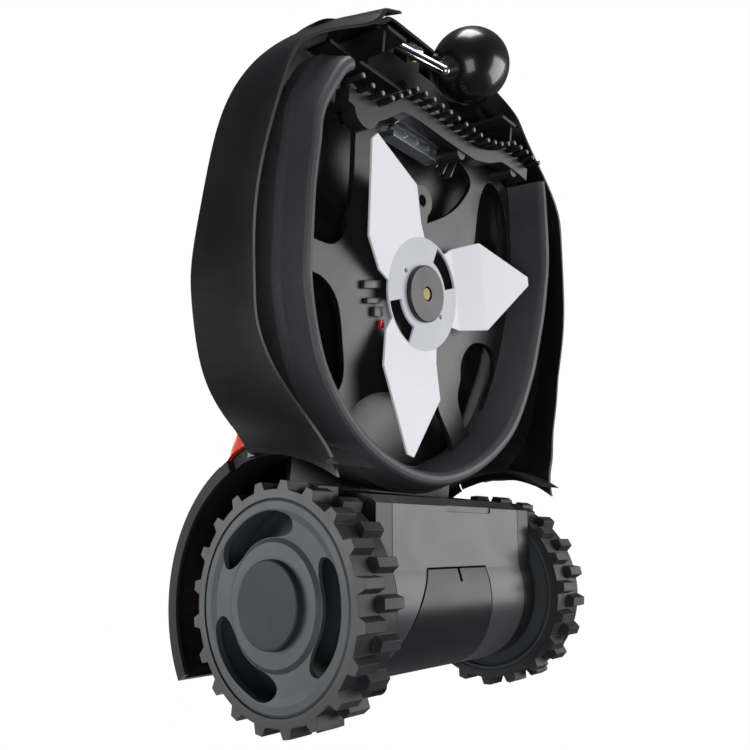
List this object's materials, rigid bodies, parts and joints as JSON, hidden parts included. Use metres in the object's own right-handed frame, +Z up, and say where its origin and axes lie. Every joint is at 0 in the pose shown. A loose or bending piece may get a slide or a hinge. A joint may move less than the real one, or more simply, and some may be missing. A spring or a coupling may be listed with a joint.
{
  "type": "robotic lawn mower",
  "caption": "Low robotic lawn mower with a domed hood over dark skirts, a floating ring deck with a three-armed dished blade, lugged drive wheels and a ball caster.",
  "frame": {"origin": "middle of the footprint, on the ground under the tyres and the caster", "axes": "+X forward to the nose, +Y to the left, +Z up"},
  "size_m": [0.5907, 0.4578, 0.2148],
  "materials": {
    "tyre": "moulded",
    "rim_grey": "satin",
    "hood_red": "gloss",
    "stop_red": "gloss",
    "blade_steel": "satin",
    "bright_steel": "polished",
    "zinc_screw": "zinc plated",
    "brass": "satin",
    "aluminium": "satin",
    "gloss_black": "gloss",
    "display": "gloss",
    "board_green": "matte",
    "battery_blue": "wrapped",
    "ring_grey": "textured",
    "deck_grey": "satin",
    "cover_grey": "satin",
    "skirt_charcoal": "satin",
    "key_grey": "matte",
    "chassis_black": "matte"
  },
  "bodies": {
    "chassis": {"battery_cover": "cover_grey", "battery_pack": "battery_blue", "boundary_sensor": "chassis_black", "carry_handle": "chassis_black", "caster_bush": "brass", "charging_contacts": "brass", "chassis_base": "chassis_black", "control_panel": "chassis_black", "display_window": "display", "front_frame": "chassis_black", "guide_bushes": "deck_grey", "knob_socket": "chassis_black", "left_fender": "skirt_charcoal", "left_gearmotor": "aluminium", "left_skirt": "skirt_charcoal", "left_wheel_bearing": "chassis_black", "lid_hinge_pin": "bright_steel", "main_board": "board_green", "rear_housing": "chassis_black", "right_fender": "skirt_charcoal", "right_gearmotor": "aluminium", "right_skirt": "skirt_charcoal", "right_wheel_bearing": "chassis_black", "service_hatch": "cover_grey", "stop_socket": "chassis_black", "top_cover": "hood_red"},
    "deck": {"deck_ring": "ring_grey", "deck_spider": "deck_grey", "deck_front_bar": "deck_grey", "grass_comb": "deck_grey", "mow_motor": "aluminium", "motor_bracket": "aluminium", "deck_posts": "bright_steel", "height_nut": "deck_grey", "deck_screws": "zinc_screw"},
    "blade_unit": {"blade": "blade_steel", "blade_cap": "chassis_black", "blade_screw": "brass", "motor_shaft": "bright_steel"},
    "height_dial": {"height_knob": "chassis_black", "height_screw": "bright_steel"},
    "left_wheel": {"left_tyre": "tyre", "left_rim": "rim_grey", "left_hub_cap": "chassis_black", "left_drive_axle": "bright_steel"},
    "right_wheel": {"right_tyre": "tyre", "right_rim": "rim_grey", "right_hub_cap": "chassis_black", "right_drive_axle": "bright_steel"},
    "caster_swivel": {"caster_fork": "bright_steel"},
    "caster_roller": {"caster_wheel": "gloss_black", "caster_hub": "chassis_black"},
    "bumper": {"front_bumper": "skirt_charcoal"},
    "lid": {"panel_lid": "skirt_charcoal"},
    "stop": {"stop_button": "stop_red"},
    "key_right": {"right_key": "key_grey"},
    "key_middle": {"middle_key": "key_grey"},
    "key_left": {"left_key": "key_grey"}
  },
  "joints": [
    {"name": "deck_height", "type": "slide", "parent": "chassis", "child": "deck", "axis": [0.0718, 0, 0.9974], "range_m": [-0.026, 0.008]},
    {"name": "blade_spin", "type": "hinge", "parent": "deck", "child": "blade_unit", "pos_m": [0.04613, 0, 0.06848], "axis": [0.0718, 0, 0.9974], "continuous": true},
    {"name": "height_dial_turn", "type": "hinge", "parent": "chassis", "child": "height_dial", "pos_m": [0.13738, 0, 0.16618], "axis": [0.0718, 0, 0.9974], "range_deg": [-230.41, 71.59]},
    {"name": "left_drive", "type": "hinge", "parent": "chassis", "child": "left_wheel", "pos_m": [-0.1974, 0, 0.081], "axis": [0, 1, 0], "continuous": true},
    {"name": "right_drive", "type": "hinge", "parent": "chassis", "child": "right_wheel", "pos_m": [-0.1974, 0, 0.081], "axis": [0, 1, 0], "continuous": true},
    {"name": "caster_turn", "type": "hinge", "parent": "chassis", "child": "caster_swivel", "pos_m": [0.27578, 0, 0.08603], "axis": [0.0718, 0, 0.9974], "continuous": true},
    {"name": "caster_roll", "type": "hinge", "parent": "caster_swivel", "child": "caster_roller", "pos_m": [0.24952, 0.01331, 0.03228], "axis": [0.5107, 0.859, -0.0368], "continuous": true},
    {"name": "bumper_press", "type": "slide", "parent": "chassis", "child": "bumper", "axis": [-0.9974, 0, 0.0718], "range_m": [0, 0.005], "stiffness_N_per_m": 800, "springref_m": -0.004},
    {"name": "lid_open", "type": "hinge", "parent": "chassis", "child": "lid", "pos_m": [-0.15838, 0, 0.19399], "axis": [0, 1, 0], "range_deg": [0, 92]},
    {"name": "stop_press", "type": "slide", "parent": "chassis", "child": "stop", "axis": [-0.0718, 0, -0.9974], "range_m": [0, 0.004], "stiffness_N_per_m": 800, "springref_m": -0.002},
    {"name": "right_key_press", "type": "slide", "parent": "chassis", "child": "key_right", "axis": [-0.0718, 0, -0.9974], "range_m": [0, 0.0015], "stiffness_N_per_m": 500, "springref_m": -0.001},
    {"name": "middle_key_press", "type": "slide", "parent": "chassis", "child": "key_middle", "axis": [-0.0718, 0, -0.9974], "range_m": [0, 0.0015], "stiffness_N_per_m": 500, "springref_m": -0.001},
    {"name": "left_key_press", "type": "slide", "parent": "chassis", "child": "key_left", "axis": [-0.0718, 0, -0.9974], "range_m": [0, 0.0015], "stiffness_N_per_m": 500, "springref_m": -0.001}
  ],
  "couplings": [
    {"joint": "height_dial_turn", "follows": "deck_height", "rad_per_m": 154}
  ]
}
